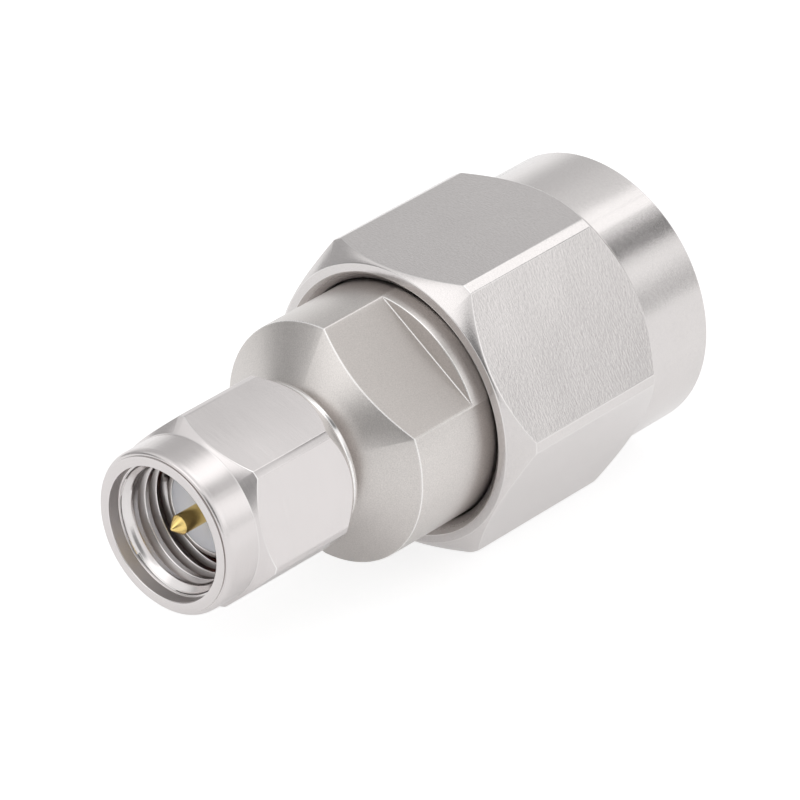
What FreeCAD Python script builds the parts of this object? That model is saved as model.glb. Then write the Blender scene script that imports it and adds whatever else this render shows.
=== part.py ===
import FreeCAD, Part
import math
import os

os.makedirs("parts", exist_ok=True)

# Straight coaxial adapter with an SMA plug at one end and a TNC plug at the other.
# Millimetres. X runs along the axis from the mouth of the SMA nut, Z is up.
# All diameters are finished sizes. Thread forms are left to the visual model:
# each nut is bored to its thread's minor diameter, and its mouth to the major one.

# Fits
running_gap = 0.06        # radial, each coupling nut on its barrel
press_gap = 0.01          # radial, pieces pressed or screwed into each other for good
nut_float = 0.2           # axial play of each nut against its retaining ring
ring_slack = 0.05         # axial play of a retaining ring in the body's groove
ring_room = 0.4           # radial room in a nut's undercut for the ring to spread in assembly

# SMA coupling nut
sma_nut_flats = 8.0
sma_nut_corners = 9.04
sma_nut_length = 8.35
sma_collar_diameter = 7.8
sma_collar_length = 1.94
sma_face_diameter = 7.48
sma_face_bevel = 0.4
sma_tail_diameter = 7.4
sma_front_cone = 47.5     # degrees between a hexagon chamfer and the axis
sma_tail_cone = 33.0
sma_nut_clocking = -17.9  # degrees from Z to a flat, turning towards +Y
sma_thread_major = 6.4
sma_thread_minor = 5.6
sma_mouth_depth = 0.66
sma_lead_in = 0.34
sma_thread_length = 2.3

# SMA interface of the body
sma_recess = 2.75         # the reference plane lies this far inside the nut's mouth
sma_nose_diameter = 4.6
sma_nose_length = 1.9
sma_barrel_diameter = 5.3
sma_shoulder_width = 0.65
sma_dielectric_diameter = 4.1
sma_gasket_diameter = 5.8
sma_gasket_thickness = 0.55
sma_ring_groove_diameter = 4.66
sma_ring_diameter = 5.9
sma_ring_thickness = 0.5

# SMA centre contact
sma_pin_diameter = 0.92
sma_pin_projection = 2.15
sma_pin_taper = 0.48
sma_pin_tip_diameter = 0.12
sma_shoulder_depth = 0.15
sma_conductor_diameter = 1.27
sma_stem_diameter = 0.8
sma_stem_length = 2.0

# Body
flare_gap = 0.2           # between the SMA nut's tail and the flare, along the barrel
flare_angle = 59.5        # degrees between the flare and the axis
neck_fillet = 0.7
body_diameter = 11.54
body_length = 6.0
wrench_flats = 9.62
wrench_flat_length = 3.8
wrench_clocking = -35.7
shell_socket_depth = 4.8

# TNC coupling nut
tnc_nut_flats = 13.54
tnc_nut_corners = 15.35
tnc_nut_length = 14.1
tnc_hex_length = 10.06
tnc_skirt_diameter = 13.34
tnc_skirt_bevel = 0.2
tnc_nut_cone = 44.5
tnc_nut_clocking = 0.0
tnc_recess_diameter = 12.66
tnc_recess_depth = 1.82
tnc_lip_width = 1.7
tnc_thread_major = 11.2
tnc_thread_minor = 10.3
tnc_thread_length = 5.3
tnc_mouth_depth = 0.7
tnc_lead_in = 0.45

# TNC interface of the body
tnc_stem_diameter = 8.6
tnc_barrel_diameter = 9.7
tnc_barrel_length = 4.5
tnc_bore = 7.0
tnc_ring_offset = 2.05    # from the barrel's root to the retaining ring
tnc_ring_groove_diameter = 8.9
tnc_ring_diameter = 10.5
tnc_ring_thickness = 0.7
tnc_gasket_diameter = 9.7
tnc_gasket_thickness = 1.0
ring_gap_width = 1.1      # opening in each retaining ring

# TNC contacts and insulator
tnc_contact_diameter = 8.0
tnc_contact_length = 5.7
tnc_contact_root_diameter = 8.5
tnc_contact_root_depth = 1.5
tnc_contact_bead = 0.14
tnc_contact_bead_length = 0.7
tnc_slot_width = 0.4
tnc_slot_length = 2.6
tnc_pocket_diameter = 5.0
tnc_pocket_depth = 4.0
tnc_insulator_recess = 1.2
tnc_conductor_diameter = 2.14
tnc_pin_diameter = 1.37
tnc_pin_recess = 0.4
tnc_pin_taper = 0.55
tnc_pin_tip_diameter = 0.6

# Stations along X, each taken from the piece that it depends on
sma_plane = sma_recess
sma_shoulder = sma_plane + sma_nose_length
sma_ring_front = sma_shoulder + sma_shoulder_width
sma_ring_back = sma_ring_front + sma_ring_thickness
flare_slope = 1.0 / math.tan(math.radians(flare_angle))
flare_start = sma_nut_length + flare_gap
flare_end = flare_start + (body_diameter - sma_barrel_diameter) / 2.0 * flare_slope
body_end = flare_end + body_length
socket_floor = body_end - shell_socket_depth
tnc_nut_start = body_end + nut_float - tnc_recess_depth
tnc_nut_end = tnc_nut_start + tnc_nut_length
tnc_ring_front = body_end + tnc_ring_offset
tnc_ring_back = tnc_ring_front + tnc_ring_thickness
tnc_plane = body_end + tnc_barrel_length
tnc_contact_end = tnc_plane + tnc_contact_length
tnc_insulator_end = tnc_contact_end - tnc_insulator_recess
tnc_pocket_floor = tnc_insulator_end - tnc_pocket_depth

X_AXIS = FreeCAD.Vector(1, 0, 0)


def profile_run(start, end, hollow):
    """One run of a turned profile: straight, or an arc that dips towards the axis."""
    if not hollow:
        return Part.makeLine(start, end)
    along = (end - start).normalize()
    middle = (start + end) * 0.5 + FreeCAD.Vector(along.z, 0, -along.x) * hollow
    return Part.Arc(start, middle, end).toShape()


def turned(profile):
    """Solid of revolution about X. The profile is (station, diameter) pairs from front to back.

    A third value in a pair hollows the run that ends there by that much.
    """
    front, back = profile[0][0], profile[-1][0]
    outline = [(front, 0.0)] + list(profile) + [(back, 0.0), (front, 0.0)]
    points = [FreeCAD.Vector(corner[0], 0, corner[1] / 2.0) for corner in outline]
    hollows = [corner[2] if len(corner) > 2 else 0.0 for corner in outline]
    runs = [profile_run(*run) for run in zip(points, points[1:], hollows[1:])]
    return Part.Face(Part.Wire(runs)).revolve(FreeCAD.Vector(0, 0, 0), X_AXIS, 360)


def cylinder(start, end, diameter):
    return turned([(start, diameter), (end, diameter)])


def tube(start, end, outer, inner):
    return cylinder(start, end, outer).cut(cylinder(start, end, inner))


def box_across(start, end, width, depth, clocking=0.0, height=0.0):
    """Block centred on the axis in Y, standing on the given height and turned about the axis."""
    corner = FreeCAD.Vector(start, -width / 2.0, height)
    block = Part.makeBox(end - start, width, depth, corner)
    block.rotate(FreeCAD.Vector(0, 0, 0), X_AXIS, -clocking)
    return block


def hexagon_bar(start, end, flats, clocking):
    """Hexagonal bar whose first flat faces +Z, turned towards +Y by the clocking."""
    corner_radius = flats / math.sqrt(3.0)
    points = []
    for corner in range(7):
        angle = math.radians(clocking + 30.0 + 60.0 * corner)
        y = corner_radius * math.sin(angle)
        z = corner_radius * math.cos(angle)
        points.append(FreeCAD.Vector(start, y, z))
    face = Part.Face(Part.makePolygon(points))
    return face.extrude(FreeCAD.Vector(end - start, 0, 0))


def chamfer_run(large, small, cone):
    """Axial length of a chamfer between two diameters at an angle to the axis."""
    return (large - small) / 2.0 / math.tan(math.radians(cone))


def turned_hexagon(start, end, flats, corners, clocking, front, back):
    """Hexagon with its corners turned off. Front and back are (end diameter, cone) pairs."""
    front_run = chamfer_run(corners, front[0], front[1])
    back_run = chamfer_run(corners, back[0], back[1])
    envelope = turned([
        (start, front[0]),
        (start + front_run, corners),
        (end - back_run, corners),
        (end, back[0]),
    ])
    return envelope.common(hexagon_bar(start, end, flats, clocking))


def retaining_ring(start, end, outer, inner):
    """Split ring, open at the bottom."""
    gap = box_across(start - 1.0, end + 1.0, ring_gap_width, outer, 180.0)
    return tube(start, end, outer, inner).cut(gap)


def sma_coupling_nut():
    """Hexagon nut: collar at the mouth, thread bore, undercut for the ring and a lip behind it."""
    hexagon = turned_hexagon(
        sma_collar_length, sma_nut_length, sma_nut_flats, sma_nut_corners, sma_nut_clocking,
        (sma_collar_diameter, sma_front_cone), (sma_tail_diameter, sma_tail_cone))
    collar = turned([
        (0.0, sma_face_diameter),
        (sma_face_bevel, sma_collar_diameter),
        (sma_collar_length, sma_collar_diameter),
    ])
    thread_end = sma_mouth_depth + sma_lead_in + sma_thread_length
    lip_front = sma_ring_back + nut_float
    undercut_diameter = sma_ring_diameter + 2.0 * ring_room
    lip_bore = sma_barrel_diameter + 2.0 * running_gap
    bore = turned([
        (0.0, sma_thread_major),
        (sma_mouth_depth, sma_thread_major),
        (sma_mouth_depth + sma_lead_in, sma_thread_minor),
        (thread_end, sma_thread_minor),
        (thread_end, undercut_diameter),
        (lip_front, undercut_diameter),
        (lip_front, lip_bore),
        (sma_nut_length, lip_bore),
    ])
    return hexagon.fuse(collar).removeSplitter().cut(bore)


def sma_retaining_ring():
    return retaining_ring(sma_ring_front, sma_ring_back, sma_ring_diameter,
                          sma_ring_groove_diameter + 2.0 * press_gap)


def sma_gasket():
    return tube(sma_shoulder - sma_gasket_thickness, sma_shoulder, sma_gasket_diameter,
                sma_nose_diameter + 2.0 * press_gap)


def wrench_cut(clocking):
    """What the cutter takes off one side of the body, from ahead of the flare to the flat's end."""
    return box_across(sma_nut_length, flare_end + wrench_flat_length, body_diameter,
                      body_diameter, clocking, wrench_flats / 2.0)


def main_body():
    """Turned body: SMA nose and barrel, flare, wrench flats and the socket for the TNC shell."""
    groove_front = sma_ring_front - ring_slack
    groove_back = sma_ring_back + ring_slack
    turn = math.radians(flare_angle)
    neck_run = neck_fillet * math.tan(turn / 2.0)
    blank = turned([
        (sma_plane, sma_nose_diameter),
        (sma_shoulder, sma_nose_diameter),
        (sma_shoulder, sma_barrel_diameter),
        (groove_front, sma_barrel_diameter),
        (groove_front, sma_ring_groove_diameter),
        (groove_back, sma_ring_groove_diameter),
        (groove_back, sma_barrel_diameter),
        (flare_start - neck_run, sma_barrel_diameter),
        (flare_start + neck_run * math.cos(turn),
         sma_barrel_diameter + 2.0 * neck_run * math.sin(turn),
         neck_fillet * (1.0 - math.cos(turn / 2.0))),
        (flare_end, body_diameter),
        (body_end, body_diameter),
    ])
    for side in (0.0, 180.0):
        blank = blank.cut(wrench_cut(wrench_clocking + side))
    blank = blank.cut(cylinder(sma_plane, socket_floor, sma_dielectric_diameter))
    return blank.cut(cylinder(socket_floor, body_end, tnc_stem_diameter))


def sma_dielectric():
    """Insulating sleeve, flush with the nose, that traps the centre contact by its shoulder."""
    sleeve = cylinder(sma_plane, socket_floor, sma_dielectric_diameter - 2.0 * press_gap)
    front_bore = cylinder(sma_plane, sma_plane + sma_shoulder_depth,
                          sma_pin_diameter + 2.0 * press_gap)
    main_bore = cylinder(sma_plane + sma_shoulder_depth, socket_floor,
                         sma_conductor_diameter + 2.0 * press_gap)
    return sleeve.cut(front_bore).cut(main_bore)


def sma_center_contact():
    """Pin with a conical nose, its thicker conductor and the stem that joins the TNC contact."""
    tip = sma_plane - sma_pin_projection
    return turned([
        (tip, sma_pin_tip_diameter),
        (tip + sma_pin_taper, sma_pin_diameter),
        (sma_plane + sma_shoulder_depth, sma_pin_diameter),
        (sma_plane + sma_shoulder_depth, sma_conductor_diameter),
        (socket_floor, sma_conductor_diameter),
        (socket_floor, sma_stem_diameter),
        (socket_floor + sma_stem_length, sma_stem_diameter),
    ])


def tnc_center_contact():
    """Conductor with a socket for the SMA contact's stem, stepping down to the mating pin."""
    tip = tnc_contact_end - tnc_pin_recess
    contact = turned([
        (socket_floor, tnc_conductor_diameter),
        (tnc_pocket_floor, tnc_conductor_diameter),
        (tnc_pocket_floor, tnc_pin_diameter),
        (tip - tnc_pin_taper, tnc_pin_diameter),
        (tip, tnc_pin_tip_diameter),
    ])
    socket = cylinder(socket_floor, socket_floor + sma_stem_length + nut_float,
                      sma_stem_diameter + 2.0 * press_gap)
    return contact.cut(socket)


def tnc_insulator():
    """Insulator with the open pocket that takes the mating jack's own insulator."""
    rod = cylinder(socket_floor, tnc_insulator_end, tnc_bore - 2.0 * press_gap)
    bore = cylinder(socket_floor, tnc_pocket_floor, tnc_conductor_diameter + 2.0 * press_gap)
    pocket = cylinder(tnc_pocket_floor, tnc_insulator_end, tnc_pocket_diameter)
    return rod.cut(bore).cut(pocket)


def tnc_shell():
    """Rear half of the body: stem in the socket, and the barrel that carries the TNC nut."""
    groove_front = tnc_ring_front - ring_slack
    groove_back = tnc_ring_back + ring_slack
    stem_diameter = tnc_stem_diameter - 2.0 * press_gap
    outside = turned([
        (socket_floor, stem_diameter),
        (body_end, stem_diameter),
        (body_end, tnc_barrel_diameter),
        (groove_front, tnc_barrel_diameter),
        (groove_front, tnc_ring_groove_diameter),
        (groove_back, tnc_ring_groove_diameter),
        (groove_back, tnc_barrel_diameter),
        (tnc_plane, tnc_barrel_diameter),
    ])
    contact_seat = cylinder(tnc_plane - tnc_contact_root_depth, tnc_plane,
                            tnc_contact_root_diameter + 2.0 * press_gap)
    return outside.cut(cylinder(socket_floor, tnc_plane, tnc_bore)).cut(contact_seat)


def tnc_outer_contact():
    """Slotted spring sleeve with a raised bead round its tip and a thicker root in the shell."""
    root = tnc_plane - tnc_contact_root_depth
    root_end = tnc_plane + tnc_gasket_thickness
    bead_start = tnc_contact_end - tnc_contact_bead_length
    bead_diameter = tnc_contact_diameter + 2.0 * tnc_contact_bead
    sleeve = turned([
        (root, tnc_contact_root_diameter),
        (root_end, tnc_contact_root_diameter),
        (root_end, tnc_contact_diameter),
        (bead_start, tnc_contact_diameter),
        (bead_start + tnc_contact_bead_length / 2.0, bead_diameter),
        (tnc_contact_end, tnc_contact_diameter),
    ])
    sleeve = sleeve.cut(cylinder(root, tnc_contact_end, tnc_bore))
    slot_start = tnc_contact_end - tnc_slot_length
    for clocking in (0.0, 90.0, 180.0, 270.0):
        slot = box_across(slot_start, tnc_contact_end + 1.0, tnc_slot_width,
                          bead_diameter, clocking)
        sleeve = sleeve.cut(slot)
    return sleeve


def tnc_gasket():
    return tube(tnc_plane, tnc_plane + tnc_gasket_thickness, tnc_gasket_diameter,
                tnc_contact_root_diameter + 2.0 * press_gap)


def tnc_retaining_ring():
    return retaining_ring(tnc_ring_front, tnc_ring_back, tnc_ring_diameter,
                          tnc_ring_groove_diameter + 2.0 * press_gap)


def tnc_coupling_nut():
    """Large hexagon nut: recess over the body, lip, undercut for the ring, thread bore, skirt."""
    hexagon = turned_hexagon(
        tnc_nut_start, tnc_nut_start + tnc_hex_length, tnc_nut_flats, tnc_nut_corners,
        tnc_nut_clocking, (tnc_nut_flats, tnc_nut_cone), (tnc_skirt_diameter, tnc_nut_cone))
    skirt = turned([
        (tnc_nut_start + tnc_hex_length, tnc_skirt_diameter),
        (tnc_nut_end - tnc_skirt_bevel, tnc_skirt_diameter),
        (tnc_nut_end, tnc_skirt_diameter - 2.0 * tnc_skirt_bevel),
    ])
    lip_front = tnc_nut_start + tnc_recess_depth
    lip_back = lip_front + tnc_lip_width
    lip_bore = tnc_barrel_diameter + 2.0 * running_gap
    undercut_diameter = tnc_ring_diameter + 2.0 * ring_room
    mouth_start = tnc_nut_end - tnc_mouth_depth
    thread_end = mouth_start - tnc_lead_in
    thread_start = thread_end - tnc_thread_length
    bore = turned([
        (tnc_nut_start, tnc_recess_diameter),
        (lip_front, tnc_recess_diameter),
        (lip_front, lip_bore),
        (lip_back, lip_bore),
        (lip_back, undercut_diameter),
        (thread_start, undercut_diameter),
        (thread_start, tnc_thread_minor),
        (thread_end, tnc_thread_minor),
        (mouth_start, tnc_thread_major),
        (tnc_nut_end, tnc_thread_major),
    ])
    return hexagon.fuse(skirt).removeSplitter().cut(bore)


NODES = {
    "sma_coupling_nut": sma_coupling_nut,
    "sma_retaining_ring": sma_retaining_ring,
    "sma_gasket": sma_gasket,
    "sma_center_contact": sma_center_contact,
    "sma_dielectric": sma_dielectric,
    "main_body": main_body,
    "tnc_shell": tnc_shell,
    "tnc_insulator": tnc_insulator,
    "tnc_center_contact": tnc_center_contact,
    "tnc_outer_contact": tnc_outer_contact,
    "tnc_gasket": tnc_gasket,
    "tnc_retaining_ring": tnc_retaining_ring,
    "tnc_coupling_nut": tnc_coupling_nut,
}

for name, build in NODES.items():
    build().exportStep("parts/" + name + ".step")
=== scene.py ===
import math

import bmesh
import bpy
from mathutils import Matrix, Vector


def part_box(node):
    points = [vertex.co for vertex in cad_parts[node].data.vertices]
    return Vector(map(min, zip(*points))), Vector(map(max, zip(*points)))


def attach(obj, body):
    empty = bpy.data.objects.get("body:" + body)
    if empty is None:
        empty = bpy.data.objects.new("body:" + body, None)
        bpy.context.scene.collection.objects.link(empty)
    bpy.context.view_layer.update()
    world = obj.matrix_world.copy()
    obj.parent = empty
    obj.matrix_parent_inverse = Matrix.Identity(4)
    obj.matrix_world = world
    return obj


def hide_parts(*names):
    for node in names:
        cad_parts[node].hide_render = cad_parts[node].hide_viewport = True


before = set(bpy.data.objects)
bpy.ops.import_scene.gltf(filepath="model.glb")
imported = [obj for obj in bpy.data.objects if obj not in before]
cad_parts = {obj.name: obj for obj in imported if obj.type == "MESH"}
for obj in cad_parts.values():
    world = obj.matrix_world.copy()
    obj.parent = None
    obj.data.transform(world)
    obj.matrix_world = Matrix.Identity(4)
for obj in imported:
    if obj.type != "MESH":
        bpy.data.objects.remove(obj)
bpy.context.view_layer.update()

# Main body. One piece of stainless bar, turned from the thin SMA barrel through a filleted neck to
# the full round, with two flats milled for a wrench. It is bead blasted, so it is satin all over.
# Its sharp edges carry a painted highlight, and its socket painted shade.
mm = 0.001
nose_radius = 2.3
nose_length = 1.9
barrel_radius = 2.65
groove_radius = 2.33
groove_front = 2.5        # from the body's front
groove_width = 0.6
neck_fillet = 0.7
neck_start = 5.4          # from the body's front
flare_angle = 59.5
body_radius = 5.77
cylinder_length = 6.0
wrench_width = 9.62
wrench_length = 3.8
wrench_clocking = -35.7
dielectric_bore = 2.05
nose_face_middle = 2.15
socket_radius = 4.3
socket_depth = 4.8
body_edge_round = 0.06
# painted highlights on the flats' ends, edges and the step behind them; painted shade in the
# socket; the flats rougher and a little darker
flat_ends_highlight = 0.9
flat_rough_and_darker = -0.6
flat_edge_highlight = 1.2
wrench_step_highlight = 0.1
socket_shade = -1.0
fillet_steps = 8
touching = 0.001          # leeway with which a point lies on a face
hair = 0.01               # and with which it lies on one side of a corner
past_round = 0.03         # and past the corner's round as well


def stations(node):
    """Where a CAD node starts and ends along the axis, in millimetres."""
    low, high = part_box(node)
    return low.x / mm, high.x / mm


def softened(corners, width=0.04, painted_highlight=1.0):
    """Outline with a small round at every corner but the first and last.

    A corner is (station, radius), and a third value is its sheen and shade where that isn't
    the usual one: a painted highlight on an outer corner, as strong as its turn times the third
    argument, and 0 in an inner one.
    """
    longest = 0.4       # share of a side that a round may take
    sharpness = 1.5     # painted highlight for the sine of a corner's turn
    outline = [(corners[0][0], corners[0][1], 0.0)]
    for before, corner, after in zip(corners, corners[1:], corners[2:]):
        here = Vector(corner[:2])
        back = Vector(before[:2]) - here
        ahead = Vector(after[:2]) - here
        reach = min(width, longest * back.length, longest * ahead.length)
        back.normalize()
        ahead.normalize()
        usual = painted_highlight * min(max(sharpness * back.cross(ahead), 0.0), 1.0)
        wear = corner[2] if len(corner) > 2 else usual
        middle = here + (back + ahead) * (reach / 4.0)
        outline.append((*(here + back * reach), 0.0))
        outline.append((*middle, wear))
        outline.append((*(here + ahead * reach), 0.0))
    outline.append((corners[-1][0], corners[-1][1], 0.0))
    return outline


def skin(name, columns, closed=True):
    """Piece whose columns of (station, radius, sheen and shade) points stand round the axis at
    their angles.

    The sheen and shade is 1 where an edge carries a painted highlight, 0 on a plain face, down
    to -0.5 where cutting has left it rough, and to -1 where it also carries painted shade.
    """
    seam = 0.0001       # points closer than this are one
    form = bmesh.new()
    sheen_and_shade_layer = form.verts.layers.float.new("wear")
    rows = []
    for angle, outline in columns:
        towards_y = math.sin(math.radians(angle)) * mm
        towards_z = math.cos(math.radians(angle)) * mm
        row = []
        for station, radius, wear in outline:
            point = form.verts.new((station * mm, radius * towards_y, radius * towards_z))
            point[sheen_and_shade_layer] = wear
            row.append(point)
        rows.append(row)
    for here, there in zip(rows, rows[1:]):
        for k in range(0 if closed else 1, len(here)):
            form.faces.new((here[k - 1], here[k], there[k], there[k - 1]))
    bmesh.ops.remove_doubles(form, verts=form.verts, dist=seam * mm)
    bmesh.ops.delete(form, geom=[e for e in form.edges if not e.link_faces], context="EDGES")
    bmesh.ops.delete(form, geom=[v for v in form.verts if not v.link_faces], context="VERTS")
    bmesh.ops.recalc_face_normals(form, faces=form.faces)
    return finished(name, form)


def finished(name, form):
    """Smooth-shaded object, whose large faces keep their own normals at the rounded edges."""
    for face in form.faces:
        face.smooth = True
    mesh = bpy.data.meshes.new(name)
    form.to_mesh(mesh)
    form.free()
    piece = bpy.data.objects.new(name, mesh)
    bpy.context.scene.collection.objects.link(piece)
    piece.modifiers.new("true_faces", "WEIGHTED_NORMAL").keep_sharp = True
    return piece


class FlattedBar:
    """Round bar with flats on it, which meet the round in slightly softened edges.

    The crown is how far the middle of a flat stands proud, where polishing has worn its edges.
    """

    edge_steps = (0.0, 2.0, 5.0, 10.0)      # columns beside an edge, in softnesses away from it
    edge_clearance = 0.5                    # degrees beside those columns that stay free
    edge_width = 0.025                      # over which the painted highlight beside an edge fades
    least_slope = 0.1                       # keeps a flat finite a quarter turn away from it

    def __init__(self, width, sides, clocking, round_radius, crown=0.0, softness=0.006):
        self.width = width
        self.crown = crown
        self.softness = softness
        self.step = 360.0 / sides
        self.clocking = clocking
        self.round_radius = round_radius
        self.half_flat = math.degrees(math.acos(width / 2.0 / round_radius))

    def from_flat(self, angle):
        """Degrees from the middle of the nearest flat."""
        return (angle - self.clocking + self.step / 2.0) % self.step - self.step / 2.0

    def radius(self, angle):
        slope = max(math.cos(math.radians(self.from_flat(angle))), self.least_slope)
        bow = 1.0 - (self.from_flat(angle) / self.half_flat) ** 2
        flat = self.width / 2.0 / slope + self.crown * max(bow, 0.0)
        near, far = sorted((flat, self.round_radius))
        return near - self.softness * math.log1p(math.exp((near - far) / self.softness))

    def edge(self, angle):
        """1 on an edge between a flat and the round, and 0 a little way off it."""
        away = math.radians(abs(self.from_flat(angle)) - self.half_flat) * self.round_radius
        return math.exp(-(away / self.edge_width) ** 2)

    def angles(self, count=160):
        """Even steps round the bar, with more of them beside each edge."""
        beside = []
        for flat in range(round(360.0 / self.step)):
            for side in (-1.0, 1.0):
                edge = self.clocking + flat * self.step + side * self.half_flat
                for step in self.edge_steps:
                    turn = math.degrees(step * self.softness / self.round_radius)
                    beside += [edge - turn, edge + turn]
        clear = []
        for angle in (360.0 * k / count for k in range(count)):
            nearest = min(abs((angle - other + 180.0) % 360.0 - 180.0) for other in beside)
            if nearest > self.edge_clearance:
                clear.append(angle)
        found = sorted({round(angle % 360.0, 5) for angle in clear + beside})
        return found + [found[0] + 360.0]


class Value:
    """A socket of a material, so that the material's maths reads as Python."""

    def __init__(self, tree, socket=None):
        self.tree = tree
        self.socket = socket

    def add(self, kind, settings=None, sockets=None, out=0):
        """A new node. Its settings come first, then its sockets are linked or given numbers."""
        node = self.tree.nodes.new("ShaderNode" + kind)
        for key, setting in (settings or {}).items():
            if key == "stops":
                elements = node.color_ramp.elements
                elements.remove(elements[1])
                elements[0].position = setting[0][0]
                elements[0].color = (*[setting[0][1]] * 3, 1.0)
                for place, tone in setting[1:]:
                    elements.new(place).color = (tone, tone, tone, 1.0)
            else:
                setattr(node, key, setting)
        for key, source in (sockets or {}).items():
            if isinstance(source, Value):
                self.tree.links.new(source.socket, node.inputs[key])
            else:
                node.inputs[key].default_value = source
        return Value(self.tree, node.outputs[out] if len(node.outputs) else None)

    def math(self, operation, first, second=0.0):
        return self.add("Math", {"operation": operation}, {0: first, 1: second})

    def __add__(self, other):
        return self.math("ADD", self, other)

    def __radd__(self, other):
        return self.math("ADD", other, self)

    def __sub__(self, other):
        return self.math("SUBTRACT", self, other)

    def __rsub__(self, other):
        return self.math("SUBTRACT", other, self)

    def __mul__(self, other):
        return self.math("MULTIPLY", self, other)

    def __rmul__(self, other):
        return self.math("MULTIPLY", other, self)

    def __truediv__(self, other):
        return self.math("DIVIDE", self, other)

    def __rtruediv__(self, other):
        return self.math("DIVIDE", other, self)

    def __pow__(self, other):
        return self.math("POWER", self, other)

    def __rpow__(self, other):
        return self.math("POWER", other, self)

    def __gt__(self, other):
        return self.math("GREATER_THAN", self, other)

    def __lt__(self, other):
        return self.math("LESS_THAN", self, other)

    def __abs__(self):
        return self.math("ABSOLUTE", self)

    def part(self, axis):
        return self.add("SeparateXYZ", None, {0: self}, axis)

    def noise(self, scale, detail=2.0):
        return self.add("TexNoise", None, {"Vector": self, "Scale": scale, "Detail": detail})

    def tinted(self, first, second):
        """Colour between two others, by this share."""
        sockets = {0: self, 6: first, 7: second}
        return self.add("Mix", {"data_type": "RGBA"}, sockets, 2)


def shade(name, plan):
    """Material whose shader is what the plan returns for a fresh tree."""
    material = bpy.data.materials.new(name)
    material.use_nodes = True
    material.node_tree.nodes.clear()
    start = Value(material.node_tree)
    start.add("OutputMaterial", None, {"Surface": plan(start)})
    return material


def millimetres(start):
    """Where a point lies in the piece's own frame, in millimetres."""
    place = start.add("TexCoord", out="Object")
    return place.add("VectorMath", {"operation": "SCALE"}, {0: place, "Scale": 1.0 / mm})


def shaded(colour, level):
    """The colour made darker or paler by a factor, with its alpha."""
    return tuple(min(level * share, 1.0) for share in colour) + (1.0,)


def steel(name, colour, roughness, lines, grain, fineness=26.0, length=2.0, sway=0.0,
          relief=0.0, relief_radius=0.0):
    """Machined steel: tool lines round the axis, fine grain, clouding, painted edge highlights
    and painted shade in bores.

    The lines have a fineness per millimetre and a length in millimetres. The sway is how far the
    polished faces wave, which bends what they reflect, and the relief is how deep the brushing is
    on the faces along the axis that stand outside a radius.
    """
    relief_depth = 0.004
    turned_aside = 0.3          # a face whose normal has more than this along the axis is an end
    # near-white colour of painted highlights, and the tint of painted shade in bores
    highlight_colour = (0.95, 0.94, 0.93, 1.0)
    shade_tint = (0.60, 0.56, 0.53)

    def plan(start):
        place = millimetres(start)
        x, y, z = (place.part(axis) for axis in "XYZ")
        radius = (y * y + z * z) ** 0.5
        end_face = abs(start.add("TexCoord", out="Normal").part("X")) > turned_aside
        along = x + radius * end_face * 0.6
        stretched = along.add("CombineXYZ", None, {
            0: along * fineness, 1: y / length, 2: z / length})
        line = stretched.noise(scale=1.0, detail=3.0) - 0.5
        speck = place.noise(scale=18.0) - 0.5
        patch = place.noise(scale=0.45) - 0.5
        wave = place.noise(scale=0.22, detail=1.0)
        brushed = (radius > relief_radius) * (1.0 - end_face) * relief
        # above 0 a painted highlight and a polish; below 0 rougher, and past -0.5 painted shade
        wear = start.add("Attribute", {"attribute_name": "wear"}, out="Fac")
        painted_highlight = start.math("MAXIMUM", wear, 0.0)
        roughness_and_shade = start.math("MAXIMUM", 0.0 - wear, 0.0)
        painted_shade = start.math("MAXIMUM", roughness_and_shade * 2.0 - 1.0, 0.0)
        tone = line * lines * 0.5 + speck * grain * 0.5 + patch * 0.1 + 0.5
        plain = tone.tinted(shaded(colour, 0.72), shaded(colour, 1.28))
        shade_colour = shaded([share * tint for share, tint in zip(colour, shade_tint)], 1.0)
        bump = start.add("Bump", None, {
            "Strength": 1.0, "Distance": relief_depth * mm,
            "Height": line * (brushed + lines) + speck * grain * 0.5 + wave * sway})
        return start.add("BsdfPrincipled", None, {
            "Base Color": painted_highlight.tinted(painted_shade.tinted(plain, shade_colour), highlight_colour),
            "Metallic": 1.0,
            "Roughness": speck * 0.1 + line * 0.1 + roughness + roughness_and_shade * 0.4 - painted_highlight * 0.1,
            "Normal": bump,
        })

    return shade(name, plan)


def dressed(piece, material, body, slot, *nodes):
    """Gives a piece its material and its body, and hides the CAD nodes that it stands for.

    The slot is not used.
    """
    piece.data.materials.append(material)
    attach(piece, body)
    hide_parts(*nodes)


body_front, body_back = stations("main_body")
body_bar = FlattedBar(wrench_width, 2, wrench_clocking, body_radius)
milled_from = 0.02      # a flat shallower than this is still the round
flare_back = body_back - cylinder_length
wrench_back = flare_back + wrench_length
socket_front = body_back - socket_depth


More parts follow.
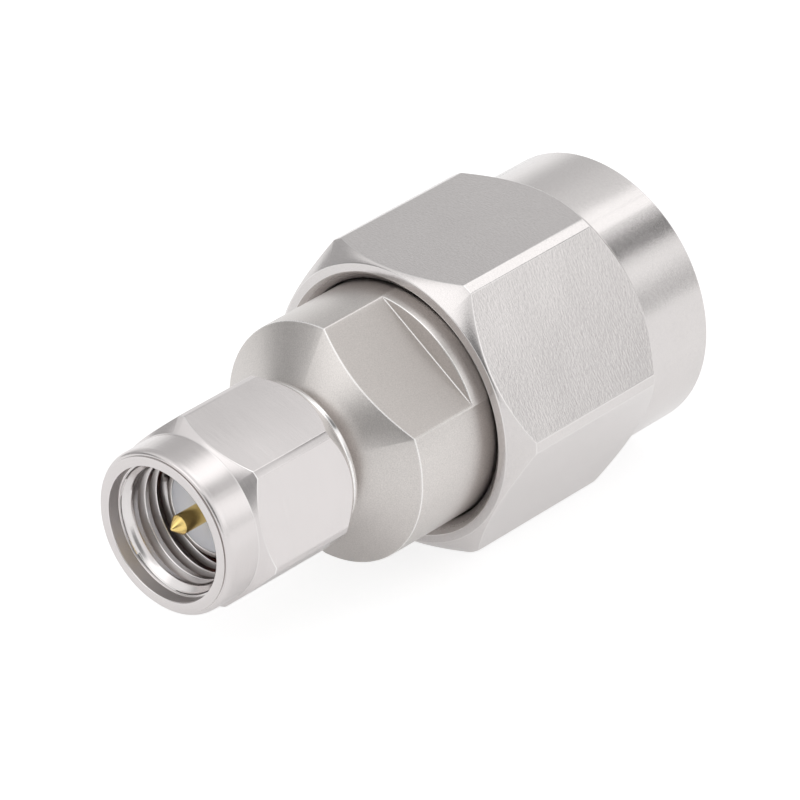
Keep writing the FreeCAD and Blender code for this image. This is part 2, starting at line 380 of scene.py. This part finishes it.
def body_column(angle):
    """Outline of the body at an angle, from its bore round the outside and back."""
    across = body_bar.radius(angle)
    milled = body_radius - across > milled_from
    groove = body_front + groove_front
    neck = body_front + neck_start
    turns = [math.radians(flare_angle * k / fillet_steps) for k in range(fillet_steps + 1)]
    fillet = [
        (neck + neck_fillet * math.sin(turn),
         barrel_radius + neck_fillet * (1.0 - math.cos(turn)), 0.0)
        for turn in turns]
    flare_run = (body_radius - across) / math.tan(math.radians(flare_angle))
    outline = softened([
        (body_front, nose_face_middle),
        (body_front, nose_radius),
        (body_front + nose_length, nose_radius),
        (body_front + nose_length, barrel_radius),
        (groove, barrel_radius),
        (groove, groove_radius),
        (groove + groove_width, groove_radius),
        (groove + groove_width, barrel_radius),
        *fillet,
        (flare_back - flare_run, across, flat_ends_highlight),
        (wrench_back, across, flat_ends_highlight * milled),
        (wrench_back, body_radius),
        (body_back, body_radius),
        (body_back, socket_radius),
        (socket_front, socket_radius),
        (socket_front, dielectric_bore),
        (body_front, dielectric_bore),
        (body_front, nose_face_middle),
    ], body_edge_round)
    return [(x, r, body_sheen_and_shade(x, r, wear, across, angle)) for x, r, wear in outline]


def body_sheen_and_shade(station, radius, wear, across, angle):
    """Body's sheen and shade: painted shade in the socket, highlights on edges, flats darker."""
    if station > flare_back and radius < socket_radius + hair:
        # painted shade in the socket
        return socket_shade
    if body_radius - across < milled_from or wear > 0.0:
        return wear
    if station == wrench_back and radius > across + milled_from:
        # a faint painted highlight on the step behind the flats
        return wrench_step_highlight
    if abs(radius - across) < touching and station < wrench_back:
        # flats rougher and a little darker, with painted highlights along their edges
        return flat_edge_highlight * body_bar.edge(angle) + flat_rough_and_darker
    return wear


satin_steel = steel("satin_steel", (0.64, 0.61, 0.59), roughness=0.33, lines=0.2, grain=1.7,
                    sway=6.0)
body_columns = [(angle, body_column(angle)) for angle in body_bar.angles()]
main_body = skin("body", body_columns)
dressed(main_body, satin_steel, "body", "body_steel", "main_body")

# SMA dielectric. A sleeve of PTFE, flush with the body's nose, pressed in from behind. It is turned
# from rod, and shows slightly bluish and waxy.
dielectric_radius = 2.04
dielectric_front_bore = 0.47
dielectric_main_bore = 0.645
dielectric_front_wall = 0.15
dielectric_face_middle = 1.54


def turned(name, corners, width=0.04, count=96):
    """Turned piece with the given outline, closed through its bore or solid to its axis."""
    closed = corners[0] == corners[-1]
    outline = softened(corners, width)
    return skin(name, [(360.0 * k / count, outline) for k in range(count + 1)], closed)


def plastic(name, colour, roughness, mottle):
    """Plain plastic or rubber with faint mottling and fine grain."""
    relief_depth = 0.006

    def plan(start):
        place = millimetres(start)
        patch = place.noise(scale=1.3, detail=3.0) - 0.5
        speck = place.noise(scale=11.0) - 0.5
        tone = patch * mottle + speck * mottle * 0.6 + 0.5
        bump = start.add("Bump", None, {
            "Strength": 1.0, "Distance": relief_depth * mm, "Height": speck + patch})
        return start.add("BsdfPrincipled", None, {
            "Base Color": tone.tinted(shaded(colour, 0.75), shaded(colour, 1.25)),
            "Roughness": speck * 0.2 + roughness,
            "Normal": bump,
        })

    return shade(name, plan)


sleeve_front, sleeve_back = stations("sma_dielectric")
ptfe = plastic("ptfe_white", (0.84, 0.87, 1.0), roughness=0.42, mottle=0.12)
sleeve_start = (sleeve_front, dielectric_face_middle)
dielectric = turned("sma_insulating_sleeve", [
    sleeve_start,
    (sleeve_front, dielectric_radius),
    (sleeve_back, dielectric_radius),
    (sleeve_back, dielectric_main_bore),
    (sleeve_front + dielectric_front_wall, dielectric_main_bore),
    (sleeve_front + dielectric_front_wall, dielectric_front_bore),
    (sleeve_front, dielectric_front_bore),
    sleeve_start,
], width=0.06)
dressed(dielectric, ptfe, "body", "ptfe", "sma_dielectric")

# SMA centre contact. Beryllium copper pin with a conical nose, gold plated, whose shoulder the
# dielectric traps and whose stem is pushed into the TNC contact.
pin_radius = 0.46
pin_tip_radius = 0.06
pin_taper = 0.48
conductor_radius = 0.635
shoulder_depth = 0.15
stem_radius = 0.4


def plated(name, colour, roughness):
    """Plated contact metal, with faint turning rings under the plating."""
    relief_depth = 0.003
    rings_per_mm = 22.0

    def plan(start):
        place = millimetres(start)
        x, y, z = (place.part(axis) for axis in "XYZ")
        stretched = x.add("CombineXYZ", None, {0: x * rings_per_mm, 1: y, 2: z})
        ring = stretched.noise(scale=1.0) - 0.5
        patch = place.noise(scale=2.4) - 0.5
        tone = ring * 0.3 + patch * 0.5 + 0.5
        bump = start.add("Bump", None, {
            "Strength": 1.0, "Distance": relief_depth * mm, "Height": ring})
        return start.add("BsdfPrincipled", None, {
            "Base Color": tone.tinted(shaded(colour, 0.8), shaded(colour, 1.2)),
            "Metallic": 1.0,
            "Roughness": patch * 0.1 + roughness,
            "Normal": bump,
        })

    return shade(name, plan)


pin_front, pin_back = stations("sma_center_contact")
shoulder = sleeve_front + shoulder_depth
gold = plated("gold_plate", (0.90, 0.64, 0.24), roughness=0.17)
sma_pin = turned("sma_pin", [
    (pin_front, 0.0),
    (pin_front, pin_tip_radius),
    (pin_front + pin_taper, pin_radius),
    (shoulder, pin_radius),
    (shoulder, conductor_radius),
    (sleeve_back, conductor_radius),
    (sleeve_back, stem_radius),
    (pin_back, stem_radius),
    (pin_back, 0.0),
], width=0.015, count=64)
dressed(sma_pin, gold, "body", "gold_contact", "sma_center_contact")

# SMA gasket. A flat ring of red silicone, slipped over the nose against the shoulder of the barrel,
# that seals on the rim of the mating jack.
gasket_inner = 2.31
gasket_outer = 2.9

gasket_front, gasket_back = stations("sma_gasket")
silicone = plastic("red_silicone", (0.32, 0.075, 0.05), roughness=0.5, mottle=0.4)
gasket_start = (gasket_front, 0.5 * (gasket_inner + gasket_outer))
sma_seal = turned("sma_seal", [
    gasket_start,
    (gasket_front, gasket_outer),
    (gasket_back, gasket_outer),
    (gasket_back, gasket_inner),
    (gasket_front, gasket_inner),
    gasket_start,
], width=0.12)
dressed(sma_seal, silicone, "body", "silicone", "sma_gasket")

# SMA retaining ring. A split ring of phosphor bronze, sprung into the barrel's groove, which the
# lip of the coupling nut pulls against. The nut hides it, so the solid stays and takes a finish.
bronze = plated("ring_bronze", (0.60, 0.36, 0.19), roughness=0.34)


def refinished(node, material):
    """Gives a CAD solid that stays in the scene a better material."""
    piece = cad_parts[node]
    if not piece.material_slots:
        piece.data.materials.append(material)
    for place in piece.material_slots:
        place.material = material


refinished("sma_retaining_ring", bronze)

# SMA coupling nut. Turned from 8 mm stainless hexagon bar: a round collar whose grooved face is
# rounded into it, chamfered corners, a narrow land at the tail, and a bore with the thread, an
# undercut for the ring and a lip behind it. It is polished, and the ring holds it on the barrel.
sma_flats = 8.0
sma_corner_radius = 4.52
sma_clocking = -17.9
sma_crown = 0.05
sma_edge_softness = 0.003
sma_face_edge = (           # station and radius, from the groove in the face to the collar
    (0.0, 3.66), (0.03, 3.68), (0.045, 3.62), (0.08, 3.62), (0.095, 3.74), (0.15, 3.81),
    (0.26, 3.875), (0.4, 3.9))
# the groove in the face, which carries painted shade
sma_groove = (0.035, 0.09)
sma_groove_radius = 3.68
sma_collar_radius = 3.9
sma_collar_length = 1.94
sma_tail_radius = 3.7
sma_tail_edge = (           # distance before the tail, radius, painted highlight; shade below 0
    (0.34, 3.91, 0.0), (0.32, 3.81, -0.9), (0.29, 3.84, 0.7), (0.04, 3.83, 0.9), (0.0, 3.75, 0.7))
sma_front_cone = 47.5
sma_tail_cone = 33.0
sma_mouth_radius = 3.2
sma_mouth_depth = 0.66
sma_step_radius = 3.1
sma_step_length = 0.06
sma_lead_in = 0.34
sma_minor_radius = 2.793
sma_major_radius = 3.175
sma_pitch = 0.7056
sma_thread_end = 3.3
sma_undercut_radius = 3.35
sma_undercut_end = 6.0
sma_lip_radius = 2.71
# painted highlights on the edge of the collar and the corners of the flats
sma_edge_highlight = 0.3
# painted highlight over the whole tail cone
sma_tail_cone_highlight = 0.8
# painted shade deep in the undercut; the mouth only rougher; a faint painted highlight, as a
# negative value, on the lead-in
sma_undercut_shade = 0.9
sma_mouth_dullness = 0.5
sma_lead_in_shade = -0.2
sma_thread_shading = 2.4    # roughness and painted shade per millimetre into the thread
thread_crest = 0.34         # shares of the pitch
thread_flank = 0.27
thread_bend = 0.03
thread_run_in = 0.5
thread_run_out = 0.25
crest_depth = 0.05
# painted highlight on the edges of the thread's crests
crest_highlight = 0.7
crest_dullness = 0.1


def internal_thread(turn, start, end, pitch, minor, major, bore):
    """Points of a right-hand thread at one column, from its end back to its start.

    The turn is how far round from Z towards Y the column stands. The rows follow the helix, so the
    crests and grooves stay crisp: a flat crest, a flank, a narrow root and the other flank. The
    first groove deepens from the run-in past the start, and the last one ends in the run-out.
    """
    risen = thread_crest + thread_flank
    falling = 1.0 - thread_flank
    steps = (0.0, thread_bend, thread_crest / 2.0, thread_crest - thread_bend, thread_crest,
             thread_crest + thread_bend, risen - thread_bend, risen, falling,
             falling + thread_bend, 1.0 - thread_bend)
    points = []
    for whole in range(math.ceil((end - start) / pitch) + 2):
        for step in steps:
            station = min(max(start + pitch * (whole + step - turn), start), end)
            share = ((station - start) / pitch + turn) % 1.0
            flank = min(share - thread_crest, 1.0 - share) / thread_flank
            run_in = min(max((station - start) / pitch - thread_run_in, 0.0), 1.0)
            run_out = (end - station) / pitch / thread_run_out
            rise = min(max(flank, 0.0), 1.0) * min(run_in, run_out)
            radius = max(bore(station), minor + (major - minor) * rise)
            # the crests' edges carry a painted highlight
            crest_edge = step in (0.0, thread_crest) and radius < minor + crest_depth
            points.append((station, radius, crest_highlight * run_in * crest_edge))
    return points[::-1]


def sma_bore(station):
    """Radius of the step and the lead-in cone and of the hole that the thread is cut in."""
    share = min(max((station - sma_mouth_depth - sma_step_length) / sma_lead_in, 0.0), 1.0)
    return sma_step_radius + (sma_minor_radius - sma_step_radius) * share


sma_front, sma_back = stations("sma_coupling_nut")
sma_bar = FlattedBar(sma_flats, 6, sma_clocking, sma_corner_radius, sma_crown, sma_edge_softness)


def sma_nut_column(angle):
    """Outline of the small nut at an angle: mouth, outside, tail, lip, undercut and thread."""
    across = sma_bar.radius(angle)
    front_run = (across - sma_collar_radius) / math.tan(math.radians(sma_front_cone))
    tail_run = (across - sma_tail_radius) / math.tan(math.radians(sma_tail_cone))
    thread = internal_thread(angle / 360.0, sma_mouth_depth, sma_thread_end, sma_pitch,
                             sma_minor_radius, sma_major_radius, sma_bore)
    # the flats' front edge carries a painted highlight that grows towards the corners
    corner = max(across - sma_flats / 2.0, 0.0) / (sma_corner_radius - sma_flats / 2.0)
    outline = softened([
        (sma_mouth_depth + sma_step_length, sma_step_radius),
        (sma_mouth_depth, sma_step_radius),
        (sma_mouth_depth, sma_mouth_radius),
        (sma_front, sma_mouth_radius),
        *[(x, r, 0.0) for x, r in sma_face_edge],
        (sma_collar_length, sma_collar_radius, sma_edge_highlight),
        (sma_collar_length + front_run, across, corner),
        (sma_back - tail_run, across, sma_edge_highlight * corner),
        *[(sma_back - before, r, wear) for before, r, wear in sma_tail_edge],
        (sma_back, sma_lip_radius),
        (sma_undercut_end, sma_lip_radius),
        (sma_undercut_end, sma_undercut_radius),
        (sma_thread_end, sma_undercut_radius),
        (sma_thread_end, thread[0][1]),
    # painted highlights on the outer corners, at 0.4 strength
    ], painted_highlight=0.4)
    cone = sma_back - tail_run + past_round
    # the tail cone carries a painted highlight
    lit = [(x, r, sma_tail_cone_highlight if wear == 0.0 and x > cone and r > sma_tail_radius else wear)
           for x, r, wear in outline]
    return [(x, r, wear - sma_roughness_and_shade(x, r)) for x, r, wear in lit + thread]


def sma_roughness_and_shade(station, radius):
    """Rough and painted shade in the small nut's groove and bores; painted highlight on lead-in."""
    if radius > sma_undercut_radius + hair:
        # painted shade in the face's groove
        return float(sma_groove[0] < station < sma_groove[1] and radius < sma_groove_radius)
    if station < sma_front + past_round:
        return 0.0
    if station < sma_mouth_depth - hair:
        return sma_mouth_dullness
    if station < sma_mouth_depth + sma_step_length + sma_lead_in:
        return sma_lead_in_shade
    if station < sma_thread_end - hair:
        root_shading = sma_thread_shading * (radius - sma_minor_radius)
        return min(crest_dullness + root_shading, sma_undercut_shade)
    return sma_undercut_shade


turned_steel = steel("turned_steel", (0.70, 0.667, 0.662), roughness=0.20, lines=0.35, grain=0.25,
                     sway=20.0)
sma_columns = [(angle, sma_nut_column(angle)) for angle in sma_bar.angles()]
sma_nut = skin("sma_nut_shell", sma_columns)
dressed(sma_nut, turned_steel, "sma_nut", "small_nut_steel", "sma_coupling_nut")

# TNC shell. The rear half of the body, a stainless sleeve screwed into the main body's socket, on
# whose barrel the large nut turns. The other pieces hide it, so the solid stays.
shell_steel = steel("shell_steel", (0.62, 0.59, 0.57), roughness=0.32, lines=0.9, grain=0.3)
refinished("tnc_shell", shell_steel)

# TNC insulator. A rod of the same white PTFE, pressed into the shell, bored for the contact and
# opened into a pocket that takes the mating jack's own insulator.
insulator_radius = 3.49
insulator_bore = 1.08
pocket_radius = 2.5
pocket_depth = 4.0

insulator_front, insulator_back = stations("tnc_insulator")
pocket_floor = insulator_back - pocket_depth
insulator_start = (insulator_front, 0.5 * (insulator_radius + insulator_bore))
insulator = turned("tnc_insulating_rod", [
    insulator_start,
    (insulator_front, insulator_radius),
    (insulator_back, insulator_radius),
    (insulator_back, pocket_radius),
    (pocket_floor, pocket_radius),
    (pocket_floor, insulator_bore),
    (insulator_front, insulator_bore),
    insulator_start,
], width=0.08)
dressed(insulator, ptfe, "body", "ptfe", "tnc_insulator")

# TNC centre contact. Gold-plated conductor with a socket for the SMA contact's stem, stepping down
# in the pocket to the mating pin with its blunt conical end.
tnc_conductor_radius = 1.07
tnc_pin_radius = 0.685
tnc_pin_tip_radius = 0.3
tnc_pin_taper = 0.55
stem_socket_radius = 0.41
stem_socket_depth = 2.2

contact_front, contact_back = stations("tnc_center_contact")
tnc_pin = turned("tnc_pin", [
    (contact_front + stem_socket_depth, 0.0),
    (contact_front + stem_socket_depth, stem_socket_radius),
    (contact_front, stem_socket_radius),
    (contact_front, tnc_conductor_radius),
    (pocket_floor, tnc_conductor_radius),
    (pocket_floor, tnc_pin_radius),
    (contact_back - tnc_pin_taper, tnc_pin_radius),
    (contact_back, tnc_pin_tip_radius),
    (contact_back, 0.0),
], count=64)
dressed(tnc_pin, gold, "body", "gold_contact", "tnc_center_contact")

# TNC outer contact. A gold-plated spring sleeve of beryllium copper with a thick root pressed into
# the shell, four slots sawn from its tip and a bead that springs into the mating jack.
root_radius = 4.25
root_length = 2.5
sleeve_radius = 4.0
sleeve_bore = 3.5
bead_height = 0.14
bead_length = 0.7
bead_steps = 12
root_step = 0.02
tip_chamfer = 0.03
sleeve_edge_bevel = 0.03
sleeve_sharp_angle = 38.0
slot_width = 0.4
slot_length = 2.6
slot_count = 4
finger_cells = 28


def slotted_sleeve(name, points, bore, columns, cut):
    """Ring with the given outer (station, radius) points, less the cells that the cut takes out."""
    form = bmesh.new()
    grid = []
    for station, radius in points:
        line = []
        for angle in columns:
            y, z = math.sin(math.radians(angle)), math.cos(math.radians(angle))
            line.append([form.verts.new((station * mm, r * y * mm, r * z * mm))
                         for r in (radius, bore)])
        grid.append(line)
    count = len(columns)
    for i in range(len(points) - 1):
        for j in range(count):
            after = (j + 1) % count
            if cut(i, j):
                continue
            a, b, c, d = grid[i][j], grid[i][after], grid[i + 1][after], grid[i + 1][j]
            form.faces.new((a[0], b[0], c[0], d[0]))
            form.faces.new((a[1], d[1], c[1], b[1]))
            walls = [
                (a, b, i == 0 or cut(i - 1, j)),
                (c, d, i == len(points) - 2 or cut(i + 1, j)),
                (b, c, cut(i, after)),
                (d, a, cut(i, j - 1)),
            ]
            for first, second, bare in walls:
                if bare:
                    form.faces.new((first[0], first[1], second[1], second[0]))
    bmesh.ops.delete(form, geom=[v for v in form.verts if not v.link_faces], context="VERTS")
    bmesh.ops.recalc_face_normals(form, faces=form.faces)
    piece = finished(name, form)
    bevel = piece.modifiers.new("edges", "BEVEL")
    bevel.width = sleeve_edge_bevel * mm
    bevel.segments = 2
    bevel.limit_method = "ANGLE"
    bevel.angle_limit = math.radians(sleeve_sharp_angle)
    piece.modifiers.move(1, 0)
    return piece


outer_front, outer_back = stations("tnc_outer_contact")
bead_start = outer_back - bead_length
sleeve_points = [
    (outer_front, root_radius),
    (outer_front + root_length, root_radius),
    (outer_front + root_length + root_step, sleeve_radius),
    (outer_back - slot_length, sleeve_radius),
    (bead_start, sleeve_radius),
]
slotted_from = 3        # the row of points at which the slots end
for k in range(1, bead_steps):
    swell = math.sin(math.pi * k / bead_steps) ** 1.5
    station = bead_start + bead_length * k / bead_steps
    sleeve_points.append((station, sleeve_radius + bead_height * swell))
sleeve_points.append((outer_back, sleeve_radius - tip_chamfer))
half_slot = math.degrees(math.asin(slot_width / 2.0 / sleeve_radius))
finger = 360.0 / slot_count
cell_width = (finger - 2.0 * half_slot) / finger_cells
sleeve_columns = [
    k * finger + half_slot + cell_width * cell
    for k in range(slot_count) for cell in range(finger_cells + 1)]


def in_slot(i, j):
    """Whether the cell after this row and this column lies in a slot."""
    return i >= slotted_from and j % (finger_cells + 1) == finger_cells


outer_contact = slotted_sleeve(
    "tnc_spring_sleeve", sleeve_points, sleeve_bore, sleeve_columns, in_slot)
dressed(outer_contact, gold, "body", "gold_contact", "tnc_outer_contact")

# TNC gasket. A ring of red silicone round the root of the outer contact, against the end of the
# shell, that seals on the rim of the mating jack.
seal_inner = 4.26
seal_outer = 4.85

seal_front, seal_back = stations("tnc_gasket")
seal_start = (seal_front, 0.5 * (seal_inner + seal_outer))
tnc_seal = turned("tnc_seal", [
    seal_start,
    (seal_front, seal_outer),
    (seal_back, seal_outer),
    (seal_back, seal_inner),
    (seal_front, seal_inner),
    seal_start,
], width=0.14)
dressed(tnc_seal, silicone, "body", "silicone", "tnc_gasket")

# TNC retaining ring. The larger split ring of phosphor bronze, sprung into the groove of the
# shell's barrel. The large nut hides it, so the solid stays and takes the same finish.
refinished("tnc_retaining_ring", bronze)

# TNC coupling nut. Turned from stainless hexagon bar, its flats brushed: chamfered corners, a
# recess whose conical mouth closes in round the body, a lip that the ring holds, an undercut, the
# coupling thread and a round skirt.
tnc_flats = 13.54
tnc_corner_radius = 7.675
tnc_crown = 0.05
tnc_face_radius = 6.73
tnc_face_dish = 0.05
tnc_hex_length = 10.06
tnc_cone = 44.5
tnc_skirt_radius = 6.67
tnc_skirt_bevel = 0.2
tnc_recess_radius = 6.33
tnc_throat_radius = 5.85
tnc_throat_depth = 0.5
tnc_recess_depth = 1.82
tnc_lip_radius = 4.91
tnc_lip_width = 1.7
tnc_undercut_radius = 5.65
tnc_minor_radius = 5.15
tnc_major_radius = 5.56
tnc_mouth_radius = 5.6
tnc_mouth_depth = 0.7
tnc_lead_in = 0.45
tnc_thread_length = 5.3
tnc_pitch = 0.907
# painted highlight along the edges of the flats
tnc_edge_highlight = 0.3
tnc_cone_dullness = 0.5
# painted shade deep in the bores and in the thread roots; the recess cone only rougher
tnc_undercut_shade = 0.8
tnc_root_shade = 0.9
tnc_thread_shading = 2.2

tnc_front, tnc_back = stations("tnc_coupling_nut")
tnc_bar = FlattedBar(tnc_flats, 6, clocking=0.0, round_radius=tnc_corner_radius, crown=tnc_crown)
tnc_mouth = tnc_back - tnc_mouth_depth
tnc_thread_end = tnc_mouth - tnc_lead_in
tnc_thread_start = tnc_thread_end - tnc_thread_length
tnc_hex_back = tnc_front + tnc_hex_length
tnc_lip_front = tnc_front + tnc_recess_depth
tnc_lip_back = tnc_lip_front + tnc_lip_width


def tnc_bore(station):
    """Radius of the hole that the thread is cut in and of the lead-in cone at the mouth."""
    share = max((station - tnc_thread_end) / tnc_lead_in, 0.0)
    return tnc_minor_radius + (tnc_mouth_radius - tnc_minor_radius) * share


def tnc_nut_column(angle):
    """Outline of the large nut at an angle: undercut, lip, recess, outside, mouth and thread."""
    across = tnc_bar.radius(angle)
    slope = math.tan(math.radians(tnc_cone))
    front_run = (across - tnc_face_radius) / slope
    back_run = (across - tnc_skirt_radius) / slope
    thread = internal_thread(angle / 360.0, tnc_thread_start, tnc_mouth, tnc_pitch,
                             tnc_minor_radius, tnc_major_radius, tnc_bore)
    outline = softened([
        (tnc_thread_start, thread[-1][1]),
        (tnc_thread_start, tnc_undercut_radius),
        (tnc_lip_back, tnc_undercut_radius),
        (tnc_lip_back, tnc_lip_radius),
        (tnc_lip_front, tnc_lip_radius),
        (tnc_lip_front, tnc_throat_radius),
        (tnc_front + tnc_throat_depth, tnc_throat_radius),
        (tnc_front, tnc_recess_radius),
        (tnc_front + tnc_face_dish, tnc_face_radius),
        (tnc_front + tnc_face_dish + front_run, across),
        (tnc_hex_back - back_run, across),
        (tnc_hex_back, tnc_skirt_radius),
        (tnc_back - tnc_skirt_bevel, tnc_skirt_radius),
        (tnc_back, tnc_skirt_radius - tnc_skirt_bevel),
        (tnc_back, tnc_mouth_radius),
        (tnc_mouth, tnc_mouth_radius),
    # painted highlights on the outer corners, at 0.4 strength
    ], painted_highlight=0.4)
    # painted highlight along the flats' edges
    edge = tnc_edge_highlight * tnc_bar.edge(angle)
    lit = [(x, r, max(wear, edge) if abs(r - across) < touching else wear)
           for x, r, wear in outline]
    return [(x, r, wear - tnc_roughness_and_shade(x, r)) for x, r, wear in lit + thread]


def tnc_roughness_and_shade(station, radius):
    """Roughness and painted shade of the large nut, deep in its bores and in the thread roots."""
    if radius > tnc_recess_radius + hair:
        return 0.0
    if not tnc_front + past_round < station < tnc_back - past_round:
        return 0.0
    if station < tnc_front + tnc_throat_depth + hair:
        return tnc_cone_dullness
    if station < tnc_thread_start or station > tnc_mouth:
        # painted shade deep in the bores
        return tnc_undercut_shade
    root_shading = tnc_thread_shading * (radius - tnc_bore(station))
    return min(crest_dullness + root_shading, tnc_root_shade)


brushed_steel = steel("brushed_steel", (0.67, 0.642, 0.634), roughness=0.19, lines=0.3, grain=0.8,
                      fineness=12.0, length=0.22, sway=12.0, relief=2.4,
                      relief_radius=tnc_skirt_radius + 0.05)
tnc_columns = [(angle, tnc_nut_column(angle)) for angle in tnc_bar.angles()]
tnc_nut = skin("tnc_nut_shell", tnc_columns)
dressed(tnc_nut, brushed_steel, "tnc_nut", "large_nut_steel", "tnc_coupling_nut")

# The floor that the connector rests on: plain white, lit so that it just reaches white where
# nothing shades it. Each tone is the whiteness of its paper and a glow that lifts it.
floor_size = 3.0
floor_seen = (0.40, 0.76)
floor_behind = (0.70, 0.40)
floor_in_front = (0.93, 0.12)
behind_from = 16.0        # along X
in_front_from = 9.0

floor_mesh = bpy.data.meshes.new("floor")
reach = floor_size / 2.0
floor_mesh.from_pydata(
    [(-reach, -reach, 0.0), (reach, -reach, 0.0), (reach, reach, 0.0), (-reach, reach, 0.0)],
    [], [(0, 1, 2, 3)])
floor = bpy.data.objects.new("floor", floor_mesh)
floor.location = (0.0, 0.0, -(tnc_flats / 2.0 + tnc_crown) * mm)
bpy.context.scene.collection.objects.link(floor)


def floor_plan(start):
    """White where it is seen. Where metal mirrors it, it is more shaded in front than behind."""
    path = "LightPath"
    seen = start.add(path, out="Is Camera Ray") + start.add(path, out="Is Transmission Ray")
    place = millimetres(start)
    before = place.add("MapRange", {"interpolation_type": "SMOOTHSTEP"}, {
        "Value": place.part("X"), "From Min": behind_from, "From Max": in_front_from})

    def lifted(white, lift):
        paper = start.add("BsdfDiffuse", None, {"Color": (white, white, white, 1.0)})
        glow = start.add("Emission", None, {"Color": (lift, lift, lift, 1.0)})
        return start.add("AddShader", None, {0: paper, 1: glow})

    mirrored = start.add("MixShader", None, {
        0: before, 1: lifted(*floor_behind), 2: lifted(*floor_in_front)})
    return start.add("MixShader", None, {0: seen, 1: mirrored, 2: lifted(*floor_seen)})


floor_mesh.materials.append(shade("floor_white", floor_plan))

# The studio: a white tent with a bright seam overhead, which the round parts show as a band along
# their length, a black flag beside the large end, and round the small end a lamp and dark cards.
small_end = (               # angle round the axis and brightness of the tent
    (-180.0, 1.0), (-112.0, 1.3), (-96.0, 1.1), (-78.0, 0.95), (-62.0, 0.62), (-44.0, 0.60),
    (-28.0, 0.68), (-19.0, 0.70), (-10.0, 0.95), (-2.0, 1.4), (12.0, 1.6), (20.0, 1.4),
    (28.0, 0.8), (38.0, 0.70), (46.0, 1.0), (56.0, 1.3), (72.0, 1.25), (84.0, 0.93),
    (100.0, 1.0), (180.0, 1.0))
large_end = (
    (-180.0, 1.0), (-112.0, 1.3), (-96.0, 1.2), (-78.0, 1.0), (-62.0, 0.70), (-44.0, 0.76),
    (-28.0, 0.88), (-8.0, 0.92), (-2.0, 1.5), (12.0, 1.5), (18.0, 0.75), (23.0, 0.50),
    (28.0, 0.22), (39.0, 0.22), (45.0, 1.0), (54.0, 1.15), (62.0, 1.03), (68.0, 0.85),
    (73.0, 0.68), (81.0, 0.62), (90.0, 0.85), (100.0, 1.0), (180.0, 1.0))
large_end_from = (0.618, 0.645)     # X of a direction, from none of the large end to all of it
tent_front = (-0.35, 0.0)           # from no seams to all of them
tent_back = (0.80, 0.97)            # and back to none
cards = (                   # direction, brightness, and degrees at which it is full and gone
    ((-0.90, -0.36, 0.26), 0.24, 14.0, 32.0),
    ((-0.76, 0.06, 0.66), 1.50, 12.0, 25.0),
    ((-0.55, 0.82, 0.17), 0.34, 10.0, 26.0),
    ((-0.14, 0.97, 0.18), 0.50, 8.0, 20.0))

world = bpy.data.worlds.new("studio")
world.use_nodes = True
world.node_tree.nodes.clear()
sky = Value(world.node_tree)
toward = sky.add("TexCoord", out="Generated")
east, north, up = (toward.part(axis) for axis in "XYZ")
turn = sky.math("ARCTAN2", 0.0 - north, up) / (2.0 * math.pi) + 0.5


def seam_band(seams):
    """Tone of the tent round the axis, from (angle, tone) stops."""
    stops = [(angle / 360.0 + 0.5, tone / 2.0) for angle, tone in seams]
    return turn.add("ValToRGB", {"stops": stops}, {0: turn}) * 2.0


def eased(value, low, high):
    """Share that rises smoothly from 0 at the low value to 1 at the high one."""
    return sky.add("MapRange", {"interpolation_type": "SMOOTHSTEP"}, {
        "Value": value, "From Min": low, "From Max": high})


large = eased(east, *large_end_from)
band = seam_band(small_end) * (1.0 - large) + seam_band(large_end) * large
beside = eased(east, *tent_front) * (1.0 - eased(east, *tent_back))
level = band * beside + 1.0 - beside
for direction, tone, inner, outer in cards:
    aim = sky.add("VectorMath", {"operation": "DOT_PRODUCT"}, {
        0: toward, 1: Vector(direction).normalized()}, "Value")
    share = eased(aim, math.cos(math.radians(outer)), math.cos(math.radians(inner)))
    level = level * (1.0 - share) + share * tone
seen = sky.add("LightPath", out="Is Camera Ray")
level = level * (1.0 - seen) + seen
sky.add("OutputWorld", None, {"Surface": sky.add("Background", None, {0: level, 1: 1.0})})
bpy.context.scene.world = world

# The camera, a long lens above and to the left of the small nut's mouth, where the photograph was
# taken from.
camera_place = (-174.402, -175.944, 144.081)
camera_tilt = (60.870, 1.7444, -48.1347)
sensor_width = 36.0
focal_length = 299.66

camera_data = bpy.data.cameras.new("camera")
camera_data.sensor_width = sensor_width
camera_data.lens = focal_length
camera_data.clip_start = 0.01
camera_data.clip_end = 10.0
camera = bpy.data.objects.new("camera", camera_data)
camera.location = [distance * mm for distance in camera_place]
camera.rotation_euler = [math.radians(angle) for angle in camera_tilt]
bpy.context.scene.collection.objects.link(camera)
bpy.context.scene.camera = camera
bpy.context.scene.view_settings.view_transform = "Standard"
